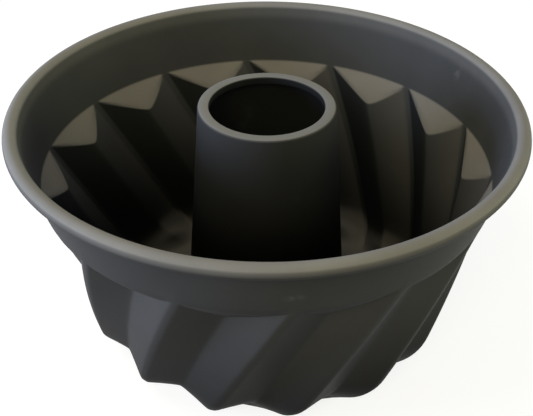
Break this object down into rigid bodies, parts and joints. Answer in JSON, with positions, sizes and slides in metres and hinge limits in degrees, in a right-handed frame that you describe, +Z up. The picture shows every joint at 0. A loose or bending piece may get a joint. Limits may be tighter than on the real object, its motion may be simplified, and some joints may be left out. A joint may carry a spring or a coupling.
{
  "type": "kugelhopf mould",
  "caption": "Round dark-coated kugelhopf mould with twisted flutes under a plain collar, a rolled rim and an open central chimney.",
  "frame": {"origin": "on the axis of the mould, in the plane that the flat base ring rests on", "axes": "+Z up along the axis, from the base to the rim; -Y is the side the picture was taken from"},
  "size_m": [0.2198, 0.2198, 0.1138],
  "materials": {
    "coated_sheet": "dark grey non-stick coating, satin, lightly scuffed",
    "wire": "bare drawn wire, hidden in the roll"
  },
  "bodies": {
    "root": {"fluted_shell": "coated_sheet", "chimney": "coated_sheet", "rim_wire": "wire"}
  },
  "joints": []
}
